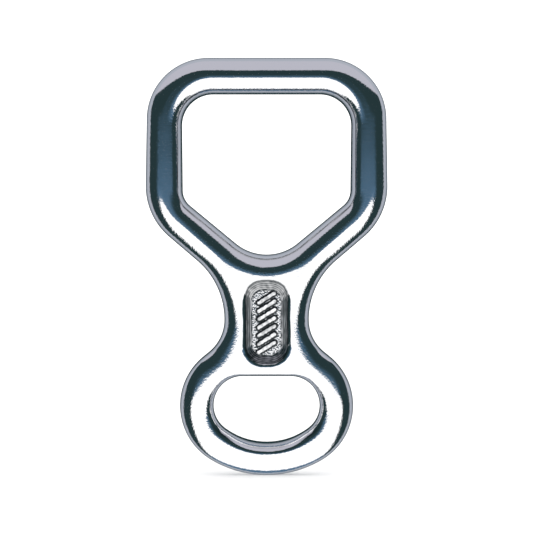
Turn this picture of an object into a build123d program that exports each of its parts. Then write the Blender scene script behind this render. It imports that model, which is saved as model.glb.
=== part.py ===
from build123d import *
from math import atan2, cos, hypot, pi, sin, sqrt
import os

# Figure-eight descender for a single rope, forged from one aluminium billet.
# Millimetres. The long axis is +Z with the rope window up, the width is X and the
# thickness is Y. The origin is the centre of the harness eye, the small lower hole.

# Overall
THICKNESS = 11.0
TOP_Z = 105.2            # top of the rope ring
BOTTOM_Z = -19.8         # bottom of the eye ring

# Outline of the rope ring, as (x, z, radius) of the circles that round its corners
CORNER_R = 18.4
CORNER = (17.5, TOP_Z - CORNER_R, CORNER_R)
SHOULDER = (16.3, 66.8, 19.9)

# Waist between the two rings
WAIST_HALF = 12.6
WAIST_Z = 26.7
WAIST_R_UPPER = 23.4
WAIST_R_LOWER = 12.4

# Outline of the eye ring, an oval of four arcs
RING_HALF = 25.9
RING_Z = 1.0
RING_SIDE_R = 18.9

# Rope window
WINDOW_CORNER = (16.0, 84.9, 9.4)
WINDOW_SIDE = (19.2, 65.5, 6.0)
WINDOW_BOTTOM_Z = 46.2
WINDOW_BOTTOM_R = 14.6

# Harness eye: a flat top, round corners and an oval lower half
EYE_CORNER = (7.2, 1.1, 8.75)
EYE_BOTTOM_Z = -9.9

# Rounding of the bars
OUTER_ROUND = 4.6
WINDOW_ROUND = 5.0
EYE_ROUND = 1.8

# Sunken oblong pad on each face of the waist, with a raised rope-lay pattern
PAD_Z = 25.9
PAD_RIM = (14.9, 25.6, 6.55)      # width, height, corner radius
PAD_FLOOR = (9.86, 20.56, 4.03)
PAD_DEPTH = 1.64
STRAND_COUNT = 7
STRAND_PITCH = 2.45
STRAND_SIZE = (6.9, 1.4)          # length, width
STRAND_HEIGHT = 0.45
STRAND_TILT = 32.0


def oval_foot(side_x, side_z, side_r, bottom_z):
    """Circle on the Z axis that meets the side circle in a tangent, as the foot of an oval."""
    drop = side_z - bottom_z
    radius = (side_x**2 + drop**2 - side_r**2) / (2 * (drop - side_r))
    return (0.0, bottom_z + radius, radius)


def shared_normal(first, second):
    """Outward normal, as an angle, of the line that is tangent to two circles in turn."""
    run = (second[0] - first[0], second[1] - first[1])
    distance = hypot(*run)
    along = max(-1.0, min(1.0, (first[2] - second[2]) / distance))
    across = sqrt(1 - along**2)
    return atan2(run[1] * along + run[0] * across, run[0] * along - run[1] * across)


def rim_point(circle, angle):
    """Point of a circle whose outward normal points along an angle."""
    return (circle[0] + circle[2] * cos(angle), circle[1] + circle[2] * sin(angle))


def closed_outline(circles):
    """Sketch inside a belt round the circles on the right, mirrored to the left.

    The belt starts level at the top and ends level at the bottom. A negative radius is a
    hollow, which the belt passes on its other side.
    """
    pairs = zip(circles[:-1], circles[1:])
    normals = [pi / 2] + [shared_normal(a, b) for a, b in pairs] + [-pi / 2]
    with BuildSketch(Plane.XZ) as sketch:
        with BuildLine():
            place = (0.0, circles[0][1] + circles[0][2])
            for circle, start, end in zip(circles, normals[:-1], normals[1:]):
                arc = [rim_point(circle, a) for a in (start, (start + end) / 2, end)]
                place = join(place, arc[0])
                ThreePointArc(*arc)
                place = arc[2]
            join(place, (0.0, circles[-1][1] - circles[-1][2]))
            mirror(about=Plane.YZ)
        make_face()
    return sketch.sketch


def join(start, end):
    """Straight run between two arcs, left out where they already touch."""
    if hypot(end[0] - start[0], end[1] - start[1]) < 0.001:
        return start
    Line(start, end)
    return end


def body_outline():
    """Outline of both rings and the waist."""
    ring_side = (RING_HALF - RING_SIDE_R, RING_Z, RING_SIDE_R)
    return closed_outline([
        CORNER,
        SHOULDER,
        (WAIST_HALF + WAIST_R_UPPER, WAIST_Z, -WAIST_R_UPPER),
        (WAIST_HALF + WAIST_R_LOWER, WAIST_Z, -WAIST_R_LOWER),
        ring_side,
        oval_foot(*ring_side, BOTTOM_Z),
    ])


def window_outline():
    """Outline of the rope window, square above and a V below."""
    foot = (0.0, WINDOW_BOTTOM_Z + WINDOW_BOTTOM_R, WINDOW_BOTTOM_R)
    return closed_outline([WINDOW_CORNER, WINDOW_SIDE, foot])


def eye_outline():
    """Outline of the harness eye."""
    return closed_outline([EYE_CORNER, oval_foot(*EYE_CORNER, EYE_BOTTOM_Z)])


def prism(outline):
    """Outline drawn out to the full thickness, half to each side."""
    return extrude(outline, amount=THICKNESS / 2, both=True)


def rim_edges(solid, reach):
    """Edges of both flat faces whose ring reaches a given height."""
    found = ShapeList()
    for face in solid.faces().filter_by(Axis.Y):
        rings = [face.outer_wire()] + list(face.inner_wires())
        for ring in rings:
            if abs(ring.bounding_box().max.Z - reach) < 0.5:
                found.extend(ring.edges())
    return found


def pad_face(side):
    """Plane on the front (-1) or back (1) face, at the middle of the pad."""
    return Plane(origin=(0, side * THICKNESS / 2, PAD_Z), x_dir=(-side, 0, 0), z_dir=(0, side, 0))


def pad_recess(side):
    """Sunken pad with sloping walls."""
    rim = pad_face(side) * RectangleRounded(*PAD_RIM)
    floor = pad_face(side).offset(-PAD_DEPTH) * RectangleRounded(*PAD_FLOOR)
    return loft([rim, floor])


def pad_strands(side):
    """Column of slanted raised strands on the floor of the pad."""
    floor = pad_face(side).offset(-PAD_DEPTH)
    strands = []
    for index in range(STRAND_COUNT):
        height = (index - (STRAND_COUNT - 1) / 2) * STRAND_PITCH
        place = floor * Pos(0, height) * Rot(0, 0, STRAND_TILT)
        strands.append(extrude(place * SlotOverall(*STRAND_SIZE), amount=STRAND_HEIGHT))
    return strands


def descender_body():
    """The whole forging."""
    eye_top = EYE_CORNER[1] + EYE_CORNER[2]
    window_top = WINDOW_CORNER[1] + WINDOW_CORNER[2]
    solid = prism(body_outline()) - prism(window_outline()) - prism(eye_outline())
    solid = fillet(rim_edges(solid, TOP_Z), OUTER_ROUND)
    solid = fillet(rim_edges(solid, window_top), WINDOW_ROUND)
    solid = fillet(rim_edges(solid, eye_top), EYE_ROUND)
    for side in (-1, 1):
        solid = solid - pad_recess(side)
        solid = solid + pad_strands(side)
    return solid


os.makedirs("parts", exist_ok=True)
body = descender_body()
body.label = "descender_body"
export_step(body, "parts/descender_body.step")
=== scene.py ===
import math
from collections import namedtuple

import bmesh
import bpy
import numpy as np
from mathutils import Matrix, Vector, geometry, noise


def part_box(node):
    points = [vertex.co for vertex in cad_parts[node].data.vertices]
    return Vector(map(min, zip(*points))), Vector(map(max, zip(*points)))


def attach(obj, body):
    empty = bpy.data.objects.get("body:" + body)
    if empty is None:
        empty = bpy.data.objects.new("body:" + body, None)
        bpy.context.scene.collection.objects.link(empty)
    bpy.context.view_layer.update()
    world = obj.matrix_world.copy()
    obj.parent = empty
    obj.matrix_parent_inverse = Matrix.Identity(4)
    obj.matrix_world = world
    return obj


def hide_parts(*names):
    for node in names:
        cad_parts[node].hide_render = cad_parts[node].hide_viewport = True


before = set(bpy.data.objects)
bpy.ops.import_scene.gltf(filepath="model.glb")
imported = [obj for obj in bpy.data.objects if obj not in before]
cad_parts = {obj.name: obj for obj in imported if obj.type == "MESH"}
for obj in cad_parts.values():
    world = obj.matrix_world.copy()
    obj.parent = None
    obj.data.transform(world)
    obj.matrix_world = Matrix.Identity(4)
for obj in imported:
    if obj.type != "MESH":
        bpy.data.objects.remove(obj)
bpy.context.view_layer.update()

MM = 0.001
NODE = "descender_body"

low, high = (np.array(corner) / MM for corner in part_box(NODE))

# Driving sizes of the forging, in millimetres. X is the width, Z the long axis and Y the
# thickness, and the origin is the centre of the harness eye.
HALF_WIDTH, HALF_THICKNESS, TOP_Z = high
BOTTOM_Z = low[2]
TOP_INSET = 0.3             # the rope ring is this much narrower at its top corners
WAIST_HALF = 12.6
WAIST_Z = 26.7
RING_HALF = 25.9

# Outlines as belts round circles, each (x, z, radius)
CORNER_R = 18.4
SHOULDER = (16.3, 66.8, 19.9)
WAIST_R_UPPER = 23.4
WAIST_R_LOWER = 12.4
RING_SIDE_R = 18.9
RING_SIDE = (RING_HALF - RING_SIDE_R, 1.0, RING_SIDE_R)
WINDOW_CORNER = (16.0, 84.9, 9.4)
WINDOW_SIDE = (19.2, 65.5, 6.0)
WINDOW_BOTTOM_Z = 46.2
WINDOW_BOTTOM_R = 14.6
EYE_CORNER = (7.2, 1.1, 8.75)
EYE_BOTTOM_Z = -9.9

# How far the rounding of the bars reaches in from each outline
OUTER_ROUND = 5.25
OUTER_ROUND_RING = 5.9
OUTER_ROUND_FOOT = 4.9
SHOULDER_WIDER = 0.7
WINDOW_ROUND = 5.25
WINDOW_ROUND_SIDE = 4.4
WINDOW_ROUND_FOOT = 6.5
EYE_ROUND = 3.9
EYE_ROUND_SIDE = 4.4
EYE_ROUND_TOP = 0.8
EYE_WALL = 0.36             # share of the height that stands straight at the sides of the eye
DOME_DROP = 0.46            # share of the height that falls off evenly on the shoulders
DOME_EDGE = 12              # how sharply the rest falls at their edge

# Heights between which each rounding changes
WAIST_BLEND = (15, 45)
FOOT_BLEND = (-19.5, -8)
V_BLEND = (48, 66)
SHOULDER_WIDTH_HUMP = (2.5, 11, 23)
SHOULDER_FULL_HUMP = (4, 16, 25)
CORNER_BLEND = (0.2, 1.5)   # the same for the top corners of the window, as angles in radians
EYE_BLEND = (0, 0.9)        # and round the eye, as the share of the way up or down
EYE_WALL_BLEND = (0.45, 0.95)

# Sunken pad
PAD_Z = 25.9
PAD_HALF = (8.1, 13.45)
PAD_CORNER_R = 7.2
PAD_DEPTH = 1.64
PAD_RIM_R = 2.2
PAD_FOOT_R = 0.9
PAD_WALL = math.radians(30)
PAD_RAGGED = 0.15           # unevenness of its outline
PAD_LINE_PITCH = 0.5        # forged lines along its wall
PAD_LINE_HEIGHT = 0.016
STRAND_COUNT = 7
STRAND_PITCH = 2.45
STRAND_HALF = (2.75, 0.7)
STRAND_TILT = math.radians(32)
STRAND_HEIGHT = 0.45
GRAIN_HEIGHT = 0.13

PAD_RIM_REACH = PAD_RIM_R * math.sin(PAD_WALL)
PAD_FOOT_REACH = PAD_FOOT_R * math.sin(PAD_WALL)
PAD_ROUNDS_DEPTH = (PAD_RIM_R + PAD_FOOT_R) * (1 - math.cos(PAD_WALL))
PAD_SLOPE_REACH = (PAD_DEPTH - PAD_ROUNDS_DEPTH) / math.tan(PAD_WALL)
PAD_FLOOR = PAD_RIM_REACH + PAD_SLOPE_REACH + PAD_FOOT_REACH

# Marks of the making, and the painted dark reflection line in the holes, in millimetres
FLASH_HALF = 0.22           # half height of the flash line round every outline
FLASH_REACH = 0.07
REFLECTION_LINE_REACH = 1.15           # how far in the painted dark reflection line lies inside the holes
REFLECTION_LINE_HALF = 0.13
BUFFED_REACH = 1.65         # how far into the pad the polish reaches at its sides
BUFFED_LESS = (0.95, 0.5)   # and how much less at its top and its bottom
WAVES = ((9.0, 0.016), (3.1, 0.004))    # length and height of the unevenness of the polish

# Shading of the crown. A fall is the share of the height that has gone at a place.
BEND_LIMIT = 0.02           # the most that the waves may bend a normal, as a share of its length
EVEN_FALL = 0.25            # the shading is even up to this fall
EVEN_CLEAR = 0.3            # and outside this distance from the pad
MARKS_FALL = 0.0006         # the buffing marks begin at this fall
MARKS_FALL_ABOVE = 0.03     # and this much later above the foot of the window's sides
MARKS_FALL_SPAN = 0.008
MARKS_BLEND = (52, 60)

# Mesh spacing
OUTLINE_STEP = 0.5
CROWN_STEP = 0.5
PAD_STEP = 0.15
CLEAR = 0.45                # gap between a grid and its rings, as a share of the grid's step
PAD_CORNER_STEPS = 26
PAD_SIDE_STEPS = (10, 4)    # along its long and its short sides
SECTION_RISE = (0, .03, .08, .17, .30, .42, .50, .54, .58, .62, .66, .71, .79, .87, .925, .965)

# Polished metal. Texture scales are per metre, and bump heights are in metres.
METAL_TINT = (0.92, 0.92, 0.935)
# Near-black base colour for painted shade and painted dark reflection lines
PAINTED_SHADE_TINT = (0.05, 0.06, 0.065)
ROUGH_POLISH = (0.05, 0.10)
ROUGH_PAD = 0.30
ROUGH_FLASH = 0.32
GRAIN_SCALE = (1500, 1500, 1500)
TOOTH_SCALE = (2000, 2000, 2000)
LINE_SCALE = (420, 420, 2300)
GRAIN_BUMP = 6e-6
TOOTH_BUMP = 4.2e-5
LINE_BUMP = 8e-6

# Studio, in metres
LENGTH = (TOP_Z - BOTTOM_Z) * MM
MIDDLE_Z = (TOP_Z + BOTTOM_Z) / 2 * MM
VIEW_HEIGHT = 1.2792 * LENGTH
CAMERA_DISTANCE = 5.6 * LENGTH
CAMERA_SHIFT = (-0.00003, -0.00004)     # across and up
SENSOR_WIDTH = 36
FLOOR_HALF = 24 * LENGTH
TENT_RADIUS = 2.08 * LENGTH
WORLD_STRENGTH = 1.45

# Panels of the light tent: colours, and where each begins and ends
WALL = (0.020, 0.040, 0.044)
HAZE = (0.085, 0.165, 0.255)
HAZE_UP = (0.16, 0.02)
HAZE_ACROSS = (0.46, 0.30)
CEILING = (0.52, 0.52, 0.585)
CEILING_UP = (0.34, 0.36)
CEILING_LEAN = -0.12
TABLE = (1.25, 1.25, 1.25)
TABLE_CENTRE = -0.3575
TABLE_HALF = (0.45, 0.3675)
TABLE_EDGE = (1.1, 0.9)
BACKDROP = (0.44, 0.47, 0.53)
BACKDROP_RADIUS = (0.765, 0.785)
BACKDROP_LEAN = 0.09
SHADE = (0.25, 0.28, 0.32)
SHADE_RADIUS = (0.86, 0.95)
RIM_RADIUS = (0.955, 0.965)


# ---------------------------------------------------------------- outlines

def oval_foot(side, bottom_z):
    """Circle on the Z axis that meets the side circle in a tangent, as the foot of an oval."""
    side_x, side_z, side_r = side
    drop = side_z - bottom_z
    radius = (side_x ** 2 + drop ** 2 - side_r ** 2) / (2 * (drop - side_r))
    return (0.0, bottom_z + radius, radius)


# A negative radius is a hollow, which the belt goes round on the inside.
OUTER = [
    (HALF_WIDTH - TOP_INSET - CORNER_R, TOP_Z - CORNER_R, CORNER_R),
    SHOULDER,
    (WAIST_HALF + WAIST_R_UPPER, WAIST_Z, -WAIST_R_UPPER),
    (WAIST_HALF + WAIST_R_LOWER, WAIST_Z, -WAIST_R_LOWER),
    RING_SIDE,
    oval_foot(RING_SIDE, BOTTOM_Z),
]
WINDOW = [WINDOW_CORNER, WINDOW_SIDE, (0.0, WINDOW_BOTTOM_Z + WINDOW_BOTTOM_R, WINDOW_BOTTOM_R)]
EYE = [EYE_CORNER, oval_foot(EYE_CORNER, EYE_BOTTOM_Z)]


def belt_angles(circles):
    """Outward normal of each straight run of the belt, level at both ends."""
    angles = [math.pi / 2]
    for first, second in zip(circles[:-1], circles[1:]):
        run = (second[0] - first[0], second[1] - first[1])
        distance = math.hypot(*run)
        along = max(-1.0, min(1.0, (first[2] - second[2]) / distance))
        across = math.sqrt(1 - along ** 2)
        angles.append(math.atan2(run[1] * along + run[0] * across,
                                 run[0] * along - run[1] * across))
    return angles + [-math.pi / 2]


def trace(circles):
    """Points and outward normals of the closed belt, from the top, clockwise."""
    angles = belt_angles(circles)
    points, normals = [], []

    def add(point, angle):
        points.append(point)
        normals.append((math.cos(angle), math.sin(angle)))

    def run(start, end, angle):
        count = max(1, round(math.dist(start, end) / OUTLINE_STEP))
        for i in range(count):
            f = i / count
            add((start[0] + (end[0] - start[0]) * f, start[1] + (end[1] - start[1]) * f), angle)

    place = (0.0, circles[0][1] + circles[0][2])
    for (x, z, r), start, end in zip(circles, angles[:-1], angles[1:]):
        first = (x + r * math.cos(start), z + r * math.sin(start))
        if math.dist(place, first) > 0.01:
            run(place, first, start)
        count = max(1, round(abs((end - start) * r) / OUTLINE_STEP))
        for i in range(count):
            angle = start + (end - start) * i / count
            add((x + r * math.cos(angle), z + r * math.sin(angle)), angle)
        place = (x + r * math.cos(end), z + r * math.sin(end))
    foot = (0.0, circles[-1][1] - circles[-1][2])
    if math.dist(place, foot) > 0.01:
        run(place, foot, -math.pi / 2)
    add(foot, -math.pi / 2)
    points, normals = np.array(points), np.array(normals)
    left = slice(-2, 0, -1)
    mirror = np.array((-1.0, 1.0))
    return np.vstack((points, points[left] * mirror)), np.vstack((normals, normals[left] * mirror))


def segment_distance(start, end, x, z):
    """Distance from points to a straight run."""
    dx, dz = end[0] - start[0], end[1] - start[1]
    square = max(dx * dx + dz * dz, 1e-12)
    f = np.clip(((x - start[0]) * dx + (z - start[1]) * dz) / square, 0, 1)
    return np.hypot(x - start[0] - f * dx, z - start[1] - f * dz)


def belt_distance(circles, x, z):
    """Distance from points to the belt."""
    x = np.abs(x)
    best = np.full(x.shape, 1e9)
    angles = belt_angles(circles)
    place = (0.0, circles[0][1] + circles[0][2])
    for (cx, cz, r), start, end in zip(circles, angles[:-1], angles[1:]):
        first = (cx + r * math.cos(start), cz + r * math.sin(start))
        best = np.minimum(best, segment_distance(place, first, x, z))
        around = np.arctan2((z - cz) * np.sign(r), (x - cx) * np.sign(r))
        span = (around <= max(start, end) + 1e-6) & (around >= min(start, end) - 1e-6)
        gap = np.abs(np.hypot(x - cx, z - cz) - abs(r))
        best = np.where(span, np.minimum(best, gap), best)
        place = (cx + r * math.cos(end), cz + r * math.sin(end))
    foot = (0.0, circles[-1][1] - circles[-1][2])
    return np.minimum(best, segment_distance(place, foot, x, z))


def inside(loop, x, z):
    """Whether points lie inside a closed loop."""
    hit = np.zeros(x.shape, bool)
    for (x0, z0), (x1, z1) in zip(loop, np.roll(loop, -1, axis=0)):
        if z0 == z1:
            continue
        crosses = ((z0 > z) != (z1 > z)) & (x < (x1 - x0) * (z - z0) / (z1 - z0) + x0)
        hit ^= crosses
    return hit


# ---------------------------------------------------------------- section

def smooth(low_end, high_end, value):
    """Smooth step from 0 to 1."""
    f = np.clip((value - low_end) / (high_end - low_end), 0, 1)
    return f * f * (3 - 2 * f)


def hump(low_end, middle, high_end, value):
    """1 at the middle, falling smoothly to 0 at both ends."""
    return smooth(low_end, middle, value) * (1 - smooth(middle, high_end, value))


def speckle(x, z, size, seed):
    """Smooth random values on the plan, mostly from -0.5 to 0.5."""
    return np.array([noise.noise(Vector((a / size, b / size, seed))) for a, b in zip(x, z)])


def outer_round(x, z):
    """The rounding is wider on the waist and the eye ring, and tighter at the very foot."""
    width = OUTER_ROUND_RING + (OUTER_ROUND - OUTER_ROUND_RING) * smooth(*WAIST_BLEND, z)
    width += (OUTER_ROUND_FOOT - OUTER_ROUND_RING) * (1 - smooth(*FOOT_BLEND, z))
    return width + SHOULDER_WIDER * hump(*SHOULDER_WIDTH_HUMP, z)


def window_round(x, z):
    """The rounding is tighter at the sides, and wide where the V runs into the waist."""
    turn = np.arctan2(z - WINDOW_CORNER[1], np.abs(x) - WINDOW_CORNER[0])
    width = WINDOW_ROUND_SIDE + (WINDOW_ROUND - WINDOW_ROUND_SIDE) * smooth(*CORNER_BLEND, turn)
    return width + (WINDOW_ROUND_FOOT - WINDOW_ROUND_SIDE) * (1 - smooth(*V_BLEND, z))


def eye_round(x, z):
    """The rounding of the eye is tight along its flat top and full round its foot."""
    up = z / np.maximum(np.hypot(x, z), 1e-6)
    width = EYE_ROUND_SIDE + (EYE_ROUND_TOP - EYE_ROUND_SIDE) * smooth(*EYE_BLEND, up)
    return width + (EYE_ROUND - EYE_ROUND_SIDE) * smooth(*EYE_BLEND, -up)


def eye_wall(x, z):
    """Share of the height that stands straight round the eye, most at its sides."""
    up = np.abs(z) / np.maximum(np.hypot(x, z), 1e-6)
    return EYE_WALL * (1 - smooth(*EYE_WALL_BLEND, up))


def outer_full(x, z):
    """The outer rounding is fuller at its edge on the shoulders of the eye ring."""
    return hump(*SHOULDER_FULL_HUMP, z)


def none(x, z):
    """No wall or no fullness anywhere."""
    return np.zeros(np.shape(x))


Outline = namedtuple("Outline", "circles width wall full")
OUTLINES = {
    "outer": Outline(OUTER, outer_round, none, outer_full),
    "window": Outline(WINDOW, window_round, none, none),
    "eye": Outline(EYE, eye_round, eye_wall, none),
}


def rise(distance, width, full):
    """Height of a rounded edge as a share of the full height: a quarter of an ellipse, or with
    full at 1 a shallow dome with a tight edge."""
    short = 1 - np.clip(distance / width, 0, 1)
    ellipse = np.sqrt(1 - short ** 2)
    dome = 1 - DOME_DROP * short ** 2 - (1 - DOME_DROP) * (1 - np.sqrt(1 - short ** DOME_EDGE))
    return ellipse + full * (dome - ellipse)


def crown(x, z, **known):
    """Height of the front or back surface above the middle plane. Distances from an outline
    that are known already are passed by its name."""
    height = HALF_THICKNESS
    for name, outline in OUTLINES.items():
        distance = known[name] if name in known else belt_distance(outline.circles, x, z)
        wall = outline.wall(x, z)
        height = height * (wall + (1 - wall) * rise(distance, outline.width(x, z), outline.full(x, z)))
    return height


def painted_reflection_line(z, depth):
    """Fine painted dark line inside the holes, partway down their rounding, standing in for a dark
    reflection.
    """
    reach = REFLECTION_LINE_REACH + 0.3 * (1 - smooth(62, 78, z)) + 0.15 * (1 - smooth(0, 10, z))
    strength = 0.95 * smooth(20, 40, z) + 0.8 * (1 - smooth(-7, -2, z))
    return strength * np.exp(-((depth - reach) / REFLECTION_LINE_HALF) ** 2)


# ---------------------------------------------------------------- sunken pad

def pad_distance(x, z):
    """Signed distance inside the rim of the pad."""
    qx = np.abs(x) - PAD_HALF[0] + PAD_CORNER_R
    qz = np.abs(z - PAD_Z) - PAD_HALF[1] + PAD_CORNER_R
    outside = np.hypot(np.maximum(qx, 0), np.maximum(qz, 0))
    return PAD_CORNER_R - outside - np.minimum(np.maximum(qx, qz), 0)


def pad_end(z, side):
    """1 at the top end of the pad for side 1, or at its bottom end for side -1."""
    return smooth(0.45, 0.9, side * (z - PAD_Z) / PAD_HALF[1])


def buffed(z):
    """How far in from the rim the polish reaches: least at the top of the pad."""
    return BUFFED_REACH - BUFFED_LESS[0] * pad_end(z, 1) - BUFFED_LESS[1] * pad_end(z, -1)


def pad_depth(x, z):
    """Depth of the pad: a small round-over, a steep wall with forged lines, a cove and a floor."""
    inward = pad_distance(x, z) + PAD_RAGGED * speckle(x, z, 0.9, 2.2)
    rim = np.clip(inward, 0, PAD_RIM_REACH)
    slope = np.clip(inward - PAD_RIM_REACH, 0, PAD_SLOPE_REACH)
    foot = np.clip(PAD_FLOOR - inward, 0, PAD_FOOT_REACH)
    depth = PAD_RIM_R - np.sqrt(PAD_RIM_R ** 2 - rim ** 2) + slope * math.tan(PAD_WALL)
    depth += PAD_FOOT_R * (1 - math.cos(PAD_WALL))
    depth -= PAD_FOOT_R - np.sqrt(PAD_FOOT_R ** 2 - foot ** 2)
    on_wall = smooth(0, 0.3, inward - buffed(z)) * smooth(0, 0.3, PAD_FLOOR - inward)
    lines = np.sin(inward * math.tau / PAD_LINE_PITCH + 3 * speckle(x, z, 3.5, 5.4))
    return depth + PAD_LINE_HEIGHT * on_wall * lines


def strand_gap(x, z):
    """Distance outside the nearest raised, slanted strand on the floor of the pad."""
    nearest = np.full(x.shape, 1e9)
    for index in range(STRAND_COUNT):
        dz = z - PAD_Z - (index - (STRAND_COUNT - 1) / 2) * STRAND_PITCH
        u = x * math.cos(STRAND_TILT) + dz * math.sin(STRAND_TILT)
        v = -x * math.sin(STRAND_TILT) + dz * math.cos(STRAND_TILT)
        gap = np.hypot(np.maximum(np.abs(u) - STRAND_HALF[0], 0), v) - STRAND_HALF[1]
        nearest = np.minimum(nearest, gap)
    return nearest


def crease_shade_dashes(x, z):
    """Broken line of painted shade where the wall of the pad meets its floor."""
    return np.clip(0.8 + 1.5 * speckle(x, z, 0.6, 7.7), 0.2, 1)


# ---------------------------------------------------------------- mesh

class Shell:
    """Vertices and faces of the forging, gathered as plan points with a height."""

    def __init__(self):
        self.plan, self.height, self.faces = [], [], []
        # The last mask marks where painted shade and painted dark reflection lines darken the base
        # colour.
        self.masks = {"pad": [], "flash": [], "grime": []}

    def add(self, plan, height, **masks):
        """Adds plan points, with surface masks from 0 to 1, and returns their numbers."""
        first = sum(len(part) for part in self.plan)
        count = len(plan)
        self.plan.append(np.asarray(plan, float))
        self.height.append(np.asarray(height, float))
        for name, values in self.masks.items():
            values.append(np.broadcast_to(np.asarray(masks.get(name, 0.0), float), count))
        return np.arange(first, first + count)

    def bridge(self, ring, nxt):
        """Joins two rings of equal length with quads."""
        for a, b in zip(range(len(ring)), np.roll(np.arange(len(ring)), -1)):
            self.faces.append((ring[a], ring[b], nxt[b], nxt[a]))


def outline_rings(shell, name):
    """Rings from the middle plane up to near the crown. Returns the last ring's numbers."""
    outline = OUTLINES[name]
    hole = name != "outer"
    points, normals = trace(outline.circles)
    inward = normals if hole else -normals
    width, wall = outline.width(*points.T), outline.wall(*points.T)
    ring = None
    for share in SECTION_RISE:
        up = np.clip((share - wall) / (1 - wall), 0, 1)
        depth = width * (1 - np.sqrt(1 - up ** 2))
        plan = points + inward * depth[:, None]
        height = np.where(up > 0, crown(*plan.T, **{name: depth}), share * HALF_THICKNESS)
        flash = math.exp(-(share * HALF_THICKNESS / FLASH_HALF) ** 2)
        # Inside the holes the shade mask gets a painted dark reflection line.
        nxt = shell.add(plan - inward * FLASH_REACH * flash, height, flash=flash,
                        grime=painted_reflection_line(plan[:, 1], depth) if hole else 0)
        if ring is not None:
            shell.bridge(ring, nxt)
        ring = nxt
    return ring


def pad_outline():
    """Centres and outward directions round the rim of the pad, clockwise."""
    corners = np.array(((1, 1), (1, -1), (-1, -1), (-1, 1)))
    centres = corners * (np.array(PAD_HALF) - PAD_CORNER_R)
    outline = []
    for corner, (centre, following) in enumerate(zip(centres, np.roll(centres, -1, axis=0))):
        turns = math.pi / 2 * (1 - corner - np.linspace(0, 1, PAD_CORNER_STEPS + 1))
        outline += [(*centre, math.cos(turn), math.sin(turn)) for turn in turns]
        for f in np.linspace(0, 1, PAD_SIDE_STEPS[corner % 2] + 1)[1:-1]:
            place = centre + (following - centre) * f
            outline.append((*place, math.cos(turns[-1]), math.sin(turns[-1])))
    return np.array(outline)


def pad_rings(shell):
    """Rings down the wall of the pad, with painted shade on its wall, a painted dark reflection line near
    its rim and painted shade in the crease at its foot. Returns the first and the last ring's numbers.
    """
    outline = pad_outline()
    rings = []
    for depth in (*np.arange(0, 0.6, 0.12), *np.arange(0.6, PAD_FLOOR + 0.05, 0.07)):
        plan = outline[:, :2] + outline[:, 2:] * (PAD_CORNER_R - depth) + (0, PAD_Z)
        x, z = plan.T
        past = depth - buffed(z) + 0.12 * speckle(x, z, 0.6, 1.9)
        forged = smooth(0, 0.15, past)
        # Painted dark reflection line just inside the rim, where the polish ends
        edge = np.exp(-((past - 0.2) / 0.3) ** 2)
        # Painted shade in the crease at the foot of the wall
        foot = crease_shade_dashes(x, z) * smooth(-0.5, -0.25, depth - PAD_FLOOR)
        # Painted shade on the wall: darker at its top and bottom ends, in bands down the wall and in
        # patches
        wall_shade = 0.5 + 0.22 * pad_end(z, 1) + 0.33 * pad_end(z, -1)
        wall_shade += 0.2 * math.sin(depth * math.tau / 0.55) + 0.3 * speckle(x, z, 1.1, 4.4)
        wall = np.clip(wall_shade, 0, 1) * forged
        rings.append(shell.add(plan, crown(x, z) - pad_depth(x, z),
                               pad=forged, grime=np.maximum.reduce([wall, foot, edge])))
    for ring, nxt in zip(rings[:-1], rings[1:]):
        shell.bridge(ring, nxt)
    return rings[0], rings[-1]


def grid(step, x_half, z_low, z_high):
    """Staggered grid of plan points."""
    rows = np.arange(z_low, z_high, step * math.sqrt(3) / 2)
    columns = np.arange(-x_half, x_half, step)
    x = columns[None, :] + (np.arange(len(rows)) % 2)[:, None] * step / 2
    z = np.broadcast_to(rows[:, None], x.shape)
    return x.ravel(), z.ravel()


def fill(shell, loop, holes, x, z, height, **masks):
    """Fills the plan between a loop and its holes with triangles on the given inner points."""
    numbers = list(shell.add(np.c_[x, z], height, **masks))
    everything = np.vstack(shell.plan)
    points, edges, owner = [], [], []
    for ring in (loop, *holes):
        first = len(points)
        points += [Vector(p) for p in everything[ring]]
        owner += list(ring)
        edges += [(first + i, first + (i + 1) % len(ring)) for i in range(len(ring))]
    points += [Vector(p) for p in zip(x, z)]
    owner += numbers
    made = geometry.delaunay_2d_cdt(points, edges, [], 0, 1e-7)
    source = [owner[origin[0]] if origin else -1 for origin in made[3]]
    triangles = np.array([[source[i] for i in face] for face in made[2]])
    triangles = triangles[(triangles >= 0).all(1)]
    centre = everything[triangles].mean(1)
    keep = inside(everything[loop], *centre.T)
    for hole in holes:
        keep &= ~inside(everything[hole], *centre.T)
    shell.faces += [tuple(t) for t in triangles[keep]]


def fill_crown(shell, rings, rim):
    """Top of the bars and of the waist, between the last rings and the rim of the pad."""
    x, z = grid(CROWN_STEP, HALF_WIDTH, BOTTOM_Z, TOP_Z)
    everything = np.vstack(shell.plan)
    reach = 1 - math.sqrt(1 - SECTION_RISE[-1] ** 2)
    near = CROWN_STEP * CLEAR
    keep = pad_distance(x, z) < -near
    for name, outline in OUTLINES.items():
        keep &= inside(everything[rings[name]], x, z) == (name == "outer")
        keep &= belt_distance(outline.circles, x, z) > outline.width(x, z) * reach + near
    x, z = x[keep], z[keep]
    fill(shell, rings["outer"], [rings["window"], rings["eye"], rim], x, z, crown(x, z))


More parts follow.
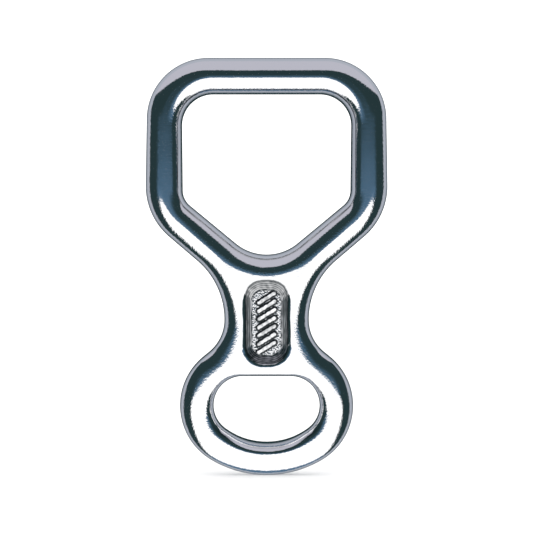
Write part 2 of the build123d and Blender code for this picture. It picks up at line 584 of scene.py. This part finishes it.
def fill_pad(shell, floor):
    """Peened floor of the pad, with its raised strands and painted shade round them, in the dents, on the
    strands and along the edge of the floor.
    """
    x, z = grid(PAD_STEP, PAD_HALF[0], PAD_Z - PAD_HALF[1], PAD_Z + PAD_HALF[1])
    keep = pad_distance(x, z) > PAD_FLOOR + PAD_STEP * CLEAR
    x, z = x[keep], z[keep]
    gap = strand_gap(x, z) + 0.16 * speckle(x, z, 0.7, 5.3)
    raised = 1 - smooth(-0.12, 0.18, gap)
    peened = speckle(x, z, 0.42, 3.1)
    edge = pad_distance(x, z) - PAD_FLOOR
    # Painted shade: dark outlines round the strands, darker dents in the peened floor, grey on the
    # strands and a broken dark line along the edge of the floor
    grime = 1 - smooth(0.14, 0.42, np.abs(gap - 0.08))
    grime += (1 - raised) * (0.12 + 0.75 * smooth(0.05, 0.35, -peened))
    grime += raised * (0.26 + 0.5 * speckle(x, z, 0.9, 8.4))
    grime += crease_shade_dashes(x, z) * (1 - smooth(0.1, 0.35, edge))
    relief = STRAND_HEIGHT * raised + GRAIN_HEIGHT * peened * (1 - raised)
    fill(shell, floor, [], x, z, crown(x, z) - PAD_DEPTH + relief,
         pad=0.6 - 0.35 * raised, grime=np.clip(grime, 0, 1))


def build_shell():
    """Half of the forging, from the middle plane up."""
    shell = Shell()
    rings = {name: outline_rings(shell, name) for name in OUTLINES}
    rim, floor = pad_rings(shell)
    fill_crown(shell, rings, rim)
    fill_pad(shell, floor)
    return shell


def orient_out(mesh):
    """Turns every face to look outwards."""
    work = bmesh.new()
    work.from_mesh(mesh)
    bmesh.ops.recalc_face_normals(work, faces=work.faces)
    work.to_mesh(mesh)
    work.free()


def vertex_values(mesh, name):
    """Vertex positions ('co') or normals ('normal') as rows."""
    values = np.empty(len(mesh.vertices) * 3)
    mesh.vertices.foreach_get(name, values)
    return values.reshape(-1, 3)


def point_layer(mesh, name, values):
    """Keeps one value for each vertex, for the material to read."""
    layer = mesh.attributes.new(name, "FLOAT", "POINT")
    layer.data.foreach_set("value", values)


def crown_slope(x, z, step=0.02):
    """Outward normal of the crown, before it faces the front or the back."""
    across = (crown(x + step, z) - crown(x - step, z)) / (2 * step)
    along = (crown(x, z + step) - crown(x, z - step)) / (2 * step)
    normal = np.c_[-across, np.ones(len(x)), -along]
    return normal / np.linalg.norm(normal, axis=1)[:, None]


def hand_finish(mesh):
    """Slight unevenness left by forging and polishing, with even shading over the crown and a
    mask for the buffing marks on roundings that don't face up."""
    place, normal = vertex_values(mesh, "co"), vertex_values(mesh, "normal")
    x, z = place[:, 0] / MM, place[:, 2] / MM
    fall = 1 - crown(x, z) / HALF_THICKNESS
    start = MARKS_FALL + MARKS_FALL_ABOVE * smooth(*MARKS_BLEND, z)
    marks = smooth(start, start + MARKS_FALL_SPAN, fall)
    marks *= 1 - 0.8 * smooth(0.12, 0.3, normal[:, 2])
    point_layer(mesh, "marks", marks)

    wave = np.array([sum(height * noise.noise(Vector(p / (length * MM))) for length, height in WAVES)
                     for p in place])
    mesh.vertices.foreach_set("co", (place + normal * wave[:, None] * MM).ravel())
    mesh.update()
    finished = vertex_values(mesh, "normal")
    even = crown_slope(x, z)
    even[:, 1] *= np.sign(place[:, 1])
    keep = (fall > EVEN_FALL) | (pad_distance(x, z) > -EVEN_CLEAR)
    bend = np.clip(finished - normal, -BEND_LIMIT, BEND_LIMIT)
    shading = np.where(keep[:, None], finished, even + bend)
    shading /= np.linalg.norm(shading, axis=1)[:, None]
    mesh.normals_split_custom_set_from_vertices(shading)


def forging():
    """The whole body as one closed mesh, both faces joined along the middle plane."""
    shell = build_shell()
    plan = np.vstack(shell.plan)
    height = np.concatenate(shell.height)
    seam = height == 0
    count = len(plan)
    back_number = np.where(seam, np.arange(count), count + np.cumsum(~seam) - 1)
    front = np.c_[plan[:, 0], -height, plan[:, 1]]
    back = np.c_[plan[:, 0], height, plan[:, 1]][~seam]
    faces = list(shell.faces)
    faces += [tuple(back_number[i] for i in reversed(face)) for face in shell.faces]

    mesh = bpy.data.meshes.new("descender_forging")
    mesh.from_pydata(np.vstack((front, back)) * MM, [], [tuple(map(int, f)) for f in faces])
    for name, parts in shell.masks.items():
        values = np.concatenate(parts)
        point_layer(mesh, name, np.concatenate((values, values[~seam])))
    mesh.validate()
    orient_out(mesh)
    mesh.polygons.foreach_set("use_smooth", np.ones(len(mesh.polygons), bool))
    hand_finish(mesh)
    mesh.materials.append(polished_aluminium())
    body = bpy.data.objects.new("descender_forging", mesh)
    bpy.context.scene.collection.objects.link(body)
    return body


# ---------------------------------------------------------------- materials

def add_node(tree, kind, **values):
    """Adds a node, with properties by name and inputs by 'in_NAME' or 'in_NUMBER'."""
    node = tree.nodes.new(kind)
    for name, value in values.items():
        if name.startswith("in_"):
            key = name[3:]
            node.inputs[int(key) if key.isdigit() else key.replace("_", " ")].default_value = value
        else:
            setattr(node, name, value)
    return node


def polished_aluminium():
    """Hand-polished forged aluminium, darkened by painted shade and painted dark reflection lines, and
    rougher where the masks of the mesh say so.
    """
    material = bpy.data.materials.new("polished_aluminium")
    material.use_nodes = True
    tree = material.node_tree
    tree.nodes.clear()
    link = tree.links.new
    where = add_node(tree, "ShaderNodeTexCoord").outputs["Object"]

    def mask(name):
        return add_node(tree, "ShaderNodeAttribute", attribute_name=name).outputs["Fac"]

    def texture(scale, detail):
        """Noise fixed to the piece, with a scale along each axis."""
        stretch = add_node(tree, "ShaderNodeMapping", in_Scale=scale)
        link(where, stretch.inputs["Vector"])
        node = add_node(tree, "ShaderNodeTexNoise", in_Scale=1.0, in_Detail=detail)
        link(stretch.outputs[0], node.inputs["Vector"])
        return node.outputs["Fac"]

    def roughen(under, share, value):
        """Mixes a roughness towards a value."""
        node = add_node(tree, "ShaderNodeMix", data_type="FLOAT", in_3=value)
        link(share, node.inputs[0])
        link(under, node.inputs[2])
        return node.outputs[0]

    def bump(height, distance):
        """Bump node for a height, to be chained through its Normal input."""
        node = add_node(tree, "ShaderNodeBump", in_Strength=1.0, in_Distance=distance)
        link(height, node.inputs["Height"])
        return node

    metal = add_node(tree, "ShaderNodeBsdfPrincipled", in_Metallic=1.0, in_IOR=1.5)
    out = add_node(tree, "ShaderNodeOutputMaterial")
    link(metal.outputs[0], out.inputs[0])

    # Painted shade: the base colour goes towards the near-black tint where the shade mask says so.
    tint = add_node(tree, "ShaderNodeMix", data_type="RGBA", in_6=(*METAL_TINT, 1), in_7=(*PAINTED_SHADE_TINT, 1))
    link(mask("grime"), tint.inputs[0])
    link(tint.outputs[2], metal.inputs["Base Color"])

    lines = texture(LINE_SCALE, 4.0)
    polish = add_node(tree, "ShaderNodeMapRange", in_1=0.3, in_2=0.7,
                      in_3=ROUGH_POLISH[0], in_4=ROUGH_POLISH[1])
    link(lines, polish.inputs["Value"])
    rough = roughen(polish.outputs[0], mask("pad"), ROUGH_PAD)
    rough = roughen(rough, mask("flash"), ROUGH_FLASH)
    link(rough, metal.inputs["Roughness"])

    grain_bump = bump(texture(GRAIN_SCALE, 3.0), GRAIN_BUMP)
    tooth_bump = bump(texture(TOOTH_SCALE, 2.0), TOOTH_BUMP)
    line_bump = bump(lines, LINE_BUMP)
    link(mask("marks"), tooth_bump.inputs["Strength"])
    link(grain_bump.outputs[0], tooth_bump.inputs["Normal"])
    link(tooth_bump.outputs[0], line_bump.inputs["Normal"])
    link(line_bump.outputs[0], metal.inputs["Normal"])
    return material


def floor_white():
    """Matt pale studio floor."""
    material = bpy.data.materials.new("studio_floor")
    material.use_nodes = True
    shader = material.node_tree.nodes["Principled BSDF"]
    shader.inputs["Base Color"].default_value = (0.9, 0.9, 0.9, 1)
    shader.inputs["Roughness"].default_value = 1.0
    shader.inputs["Specular IOR Level"].default_value = 0.0
    return material


def tent_material():
    """What the polished metal sees: a white table in front, dark walls above it and at the
    sides, and a pale ceiling and backdrop. Each is a patch of the direction halfway between
    the front and the place on the tent."""
    material = bpy.data.materials.new("light_tent")
    material.use_nodes = True
    material.cycles.emission_sampling = "NONE"
    tree = material.node_tree
    tree.nodes.clear()
    link = tree.links.new

    def maths(operation, *values):
        """Result of a sum on numbers and sockets."""
        node = add_node(tree, "ShaderNodeMath", operation=operation)
        for socket, value in zip(node.inputs, values):
            if isinstance(value, (int, float)):
                socket.default_value = value
            else:
                link(value, socket)
        return node.outputs[0]

    def band(value, ends):
        """Smooth step from 0 at the first end to 1 at the second."""
        node = add_node(tree, "ShaderNodeMapRange", interpolation_type="SMOOTHSTEP",
                        in_1=ends[0], in_2=ends[1])
        link(value, node.inputs["Value"])
        return node.outputs[0]

    def paint(under, colour, share):
        """Lays a colour over the ones before."""
        node = add_node(tree, "ShaderNodeMix", data_type="RGBA", in_7=(*colour, 1))
        link(share, node.inputs[0])
        link(under, node.inputs[6])
        return node.outputs[2]

    where = add_node(tree, "ShaderNodeTexCoord")
    away = add_node(tree, "ShaderNodeVectorMath", operation="NORMALIZE")
    link(where.outputs["Object"], away.inputs[0])
    half = add_node(tree, "ShaderNodeVectorMath", operation="ADD", in_1=(0, -1, 0))
    link(away.outputs[0], half.inputs[0])
    unit = add_node(tree, "ShaderNodeVectorMath", operation="NORMALIZE")
    link(half.outputs[0], unit.inputs[0])
    split = add_node(tree, "ShaderNodeSeparateXYZ")
    link(unit.outputs[0], split.inputs[0])
    across, front, up = maths("ABSOLUTE", split.outputs[0]), split.outputs[1], split.outputs[2]
    radius = maths("SQRT", maths("SUBTRACT", 1.0, maths("POWER", front, 2.0)))

    haze = maths("MULTIPLY", band(up, HAZE_UP), band(across, HAZE_ACROSS))
    ceiling = band(maths("MULTIPLY_ADD", across, CEILING_LEAN, up), CEILING_UP)
    wide = maths("POWER", maths("DIVIDE", across, TABLE_HALF[0]), 4.0)
    tall = maths("ABSOLUTE", maths("DIVIDE", maths("SUBTRACT", up, TABLE_CENTRE), TABLE_HALF[1]))
    table = band(maths("ADD", wide, maths("POWER", tall, 4.0)), TABLE_EDGE)
    low_side = maths("MULTIPLY", maths("MINIMUM", up, 0.0), BACKDROP_LEAN)
    backdrop = band(maths("ADD", radius, low_side), BACKDROP_RADIUS)

    colour = add_node(tree, "ShaderNodeRGB").outputs[0]
    colour.default_value = (*WALL, 1)
    layers = ((HAZE, haze), (CEILING, ceiling), (TABLE, table), (BACKDROP, backdrop),
              (SHADE, band(radius, SHADE_RADIUS)), (WALL, band(radius, RIM_RADIUS)))
    for shade, share in layers:
        colour = paint(colour, shade, share)

    light = add_node(tree, "ShaderNodeEmission", in_Strength=1.0)
    link(colour, light.inputs["Color"])
    out = add_node(tree, "ShaderNodeOutputMaterial")
    link(light.outputs[0], out.inputs[0])
    return material


# ---------------------------------------------------------------- studio

def studio_world():
    """White surroundings for the floor and the background."""
    world = bpy.data.worlds.new("studio")
    bpy.context.scene.world = world
    world.use_nodes = True
    world.cycles.sampling_method = "NONE"
    background = world.node_tree.nodes["Background"]
    background.inputs["Color"].default_value = (1, 1, 1, 1)
    background.inputs["Strength"].default_value = WORLD_STRENGTH


def light_tent():
    """Round tent of white and dark panels, seen only in reflections."""
    mesh = bpy.data.meshes.new("light_tent")
    work = bmesh.new()
    bmesh.ops.create_icosphere(work, subdivisions=6, radius=TENT_RADIUS)
    work.to_mesh(mesh)
    work.free()
    mesh.materials.append(tent_material())
    tent = bpy.data.objects.new("light_tent", mesh)
    tent.location.z = MIDDLE_Z
    for ray in ("camera", "diffuse", "shadow", "transmission", "volume_scatter"):
        setattr(tent, "visible_" + ray, False)
    bpy.context.scene.collection.objects.link(tent)


def studio_floor():
    """Pale floor under the lower ring, kept out of the reflections."""
    mesh = bpy.data.meshes.new("floor")
    corners = [(FLOOR_HALF * x, FLOOR_HALF * y, 0) for x, y in ((-1, -1), (1, -1), (1, 1), (-1, 1))]
    mesh.from_pydata(corners, [], [(0, 1, 2, 3)])
    mesh.materials.append(floor_white())
    floor = bpy.data.objects.new("floor", mesh)
    floor.location.z = BOTTOM_Z * MM
    floor.visible_glossy = False
    bpy.context.scene.collection.objects.link(floor)


def studio_camera():
    """Square on to the front face, at mid-height."""
    data = bpy.data.cameras.new("camera")
    data.sensor_width = SENSOR_WIDTH
    data.lens = SENSOR_WIDTH * CAMERA_DISTANCE / VIEW_HEIGHT
    camera = bpy.data.objects.new("camera", data)
    camera.location = (CAMERA_SHIFT[0], -CAMERA_DISTANCE, MIDDLE_Z + CAMERA_SHIFT[1])
    camera.rotation_euler = (math.pi / 2, 0, 0)
    bpy.context.scene.collection.objects.link(camera)
    bpy.context.scene.camera = camera


studio_camera()
studio_floor()
studio_world()
light_tent()
bpy.context.scene.view_settings.view_transform = "Standard"

body = forging()
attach(body, "root")
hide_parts(NODE)
